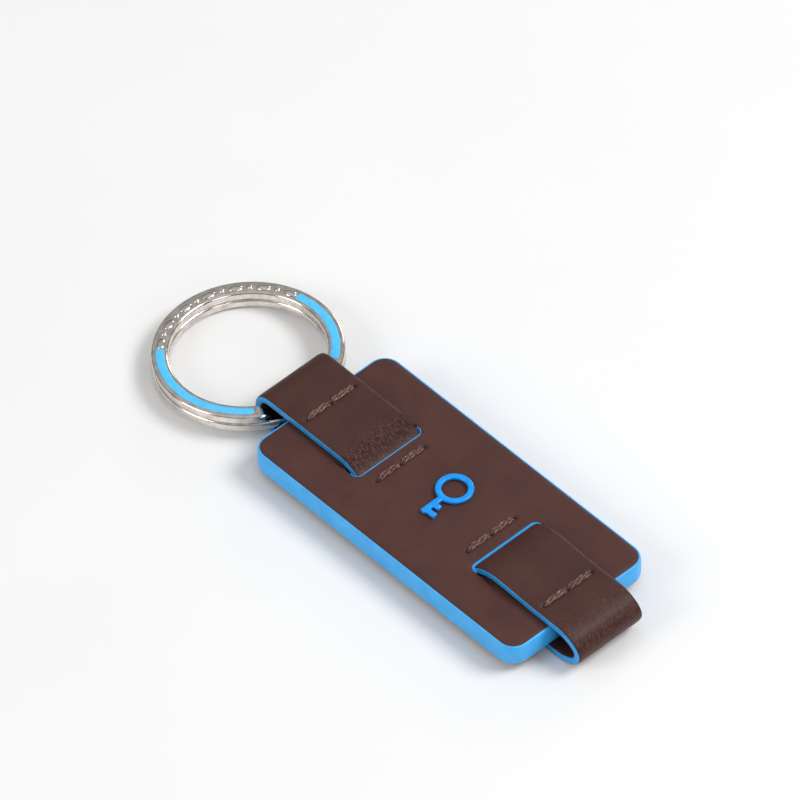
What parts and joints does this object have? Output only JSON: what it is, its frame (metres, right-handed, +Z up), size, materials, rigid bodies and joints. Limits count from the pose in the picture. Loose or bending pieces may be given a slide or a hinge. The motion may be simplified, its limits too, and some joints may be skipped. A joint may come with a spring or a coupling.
{
  "type": "keychain",
  "caption": "Flat leather key fob with a strap threaded through slots in its face, blue painted edges, a key-shaped emblem and a split key ring.",
  "frame": {"origin": "under the middle of the object's box, on the surface it lies on", "axes": "+X from the ring to the open strap loop, +Y across the fob, +Z up out of the fob's front"},
  "size_m": [0.102, 0.032, 0.0078],
  "materials": {
    "fob_leather": "fine grain, low sheen",
    "strap_leather": "fine grain, soft sheen",
    "edge_paint": "satin edge paint",
    "thread": "waxed, twisted",
    "core_board": "pressed board",
    "emblem_lacquer": "gloss lacquer",
    "plate_steel": "plain",
    "ring_metal": "polished nickel",
    "enamel": "gloss enamel"
  },
  "bodies": {
    "fob": {"front_leather": "fob_leather", "back_leather": "fob_leather", "core_board": "core_board", "fob_edge_paint": "edge_paint", "slot_paint_ring_end": "edge_paint", "slot_paint_loop_end": "edge_paint", "strap_ring_end": "strap_leather", "strap_ring_end_paint": "edge_paint", "strap_loop_end": "strap_leather", "strap_loop_end_paint": "edge_paint", "stitches_ring_outer": "thread", "stitches_ring_inner": "thread", "stitches_loop_inner": "thread", "stitches_loop_outer": "thread", "emblem": "emblem_lacquer", "emblem_backing_plate": "plate_steel"},
    "ring_loop": {"strap_ring_loop": "strap_leather", "strap_ring_loop_paint": "edge_paint"},
    "ring": {"split_ring": "ring_metal", "ring_enamel_near": "enamel", "ring_enamel_far": "enamel"}
  },
  "joints": [
    {"name": "loop_flex", "type": "hinge", "parent": "fob", "child": "ring_loop", "pos_m": [-0.02049, 0, 0.00385], "axis": [0, 1, 0], "range_deg": [-25, 25], "deforming": ["strap_ring_loop", "strap_ring_loop_paint"]},
    {"name": "ring_spin", "type": "hinge", "parent": "ring_loop", "child": "ring", "pos_m": [-0.035, 0, 0.00278], "axis": [-0.0732, 0, 0.9973], "continuous": true}
  ]
}
